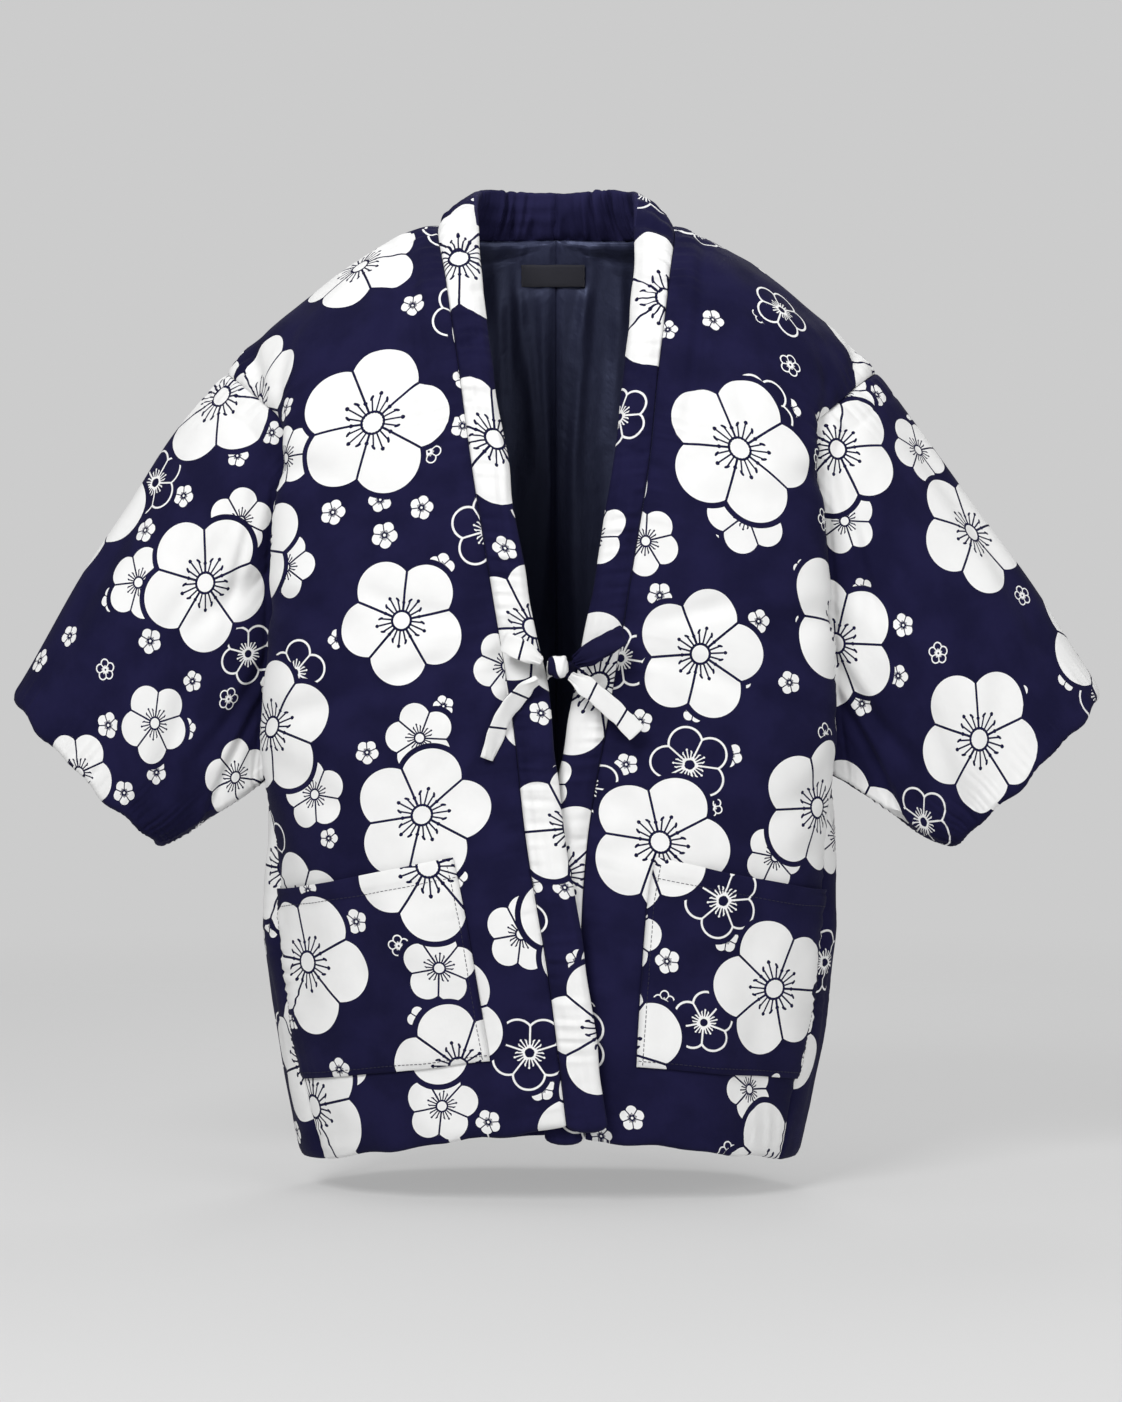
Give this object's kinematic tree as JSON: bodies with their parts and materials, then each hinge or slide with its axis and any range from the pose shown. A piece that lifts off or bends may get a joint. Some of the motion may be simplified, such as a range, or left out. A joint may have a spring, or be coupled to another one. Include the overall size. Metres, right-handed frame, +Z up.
{
  "type": "quilted hanten jacket",
  "caption": "Wadded cotton hanten jacket, filled out as worn, with wide sleeves, a padded collar band, patch pockets and a tied front.",
  "frame": {"origin": "between the shoulders at the level of the neck, where the wearer carries the jacket", "axes": "+Z up, the fronts face -Y, +X towards the wearer's left sleeve"},
  "size_m": [0.998, 0.3042, 0.8967],
  "materials": {
    "outer_cotton": "matt printed cotton, navy with white",
    "lining_satin": "soft satin lining",
    "label_cloth": "plain woven label, bare",
    "tie_cotton": "matt printed cotton, navy and white"
  },
  "bodies": {
    "root": {"body_left": "outer_cotton", "body_right": "outer_cotton", "gusset_left": "outer_cotton", "gusset_right": "outer_cotton", "sleeve_left": "outer_cotton", "sleeve_right": "outer_cotton", "collar_left": "outer_cotton", "collar_right": "outer_cotton", "pocket_left": "outer_cotton", "pocket_right": "outer_cotton", "lining_back_left": "lining_satin", "lining_back_right": "lining_satin", "label": "label_cloth", "tie_knot": "tie_cotton", "tie_root_left": "tie_cotton", "tie_root_right": "tie_cotton", "tie_loop_left": "tie_cotton", "tie_loop_right": "tie_cotton", "tie_tail_left": "tie_cotton", "tie_tail_right": "tie_cotton"}
  },
  "joints": []
}
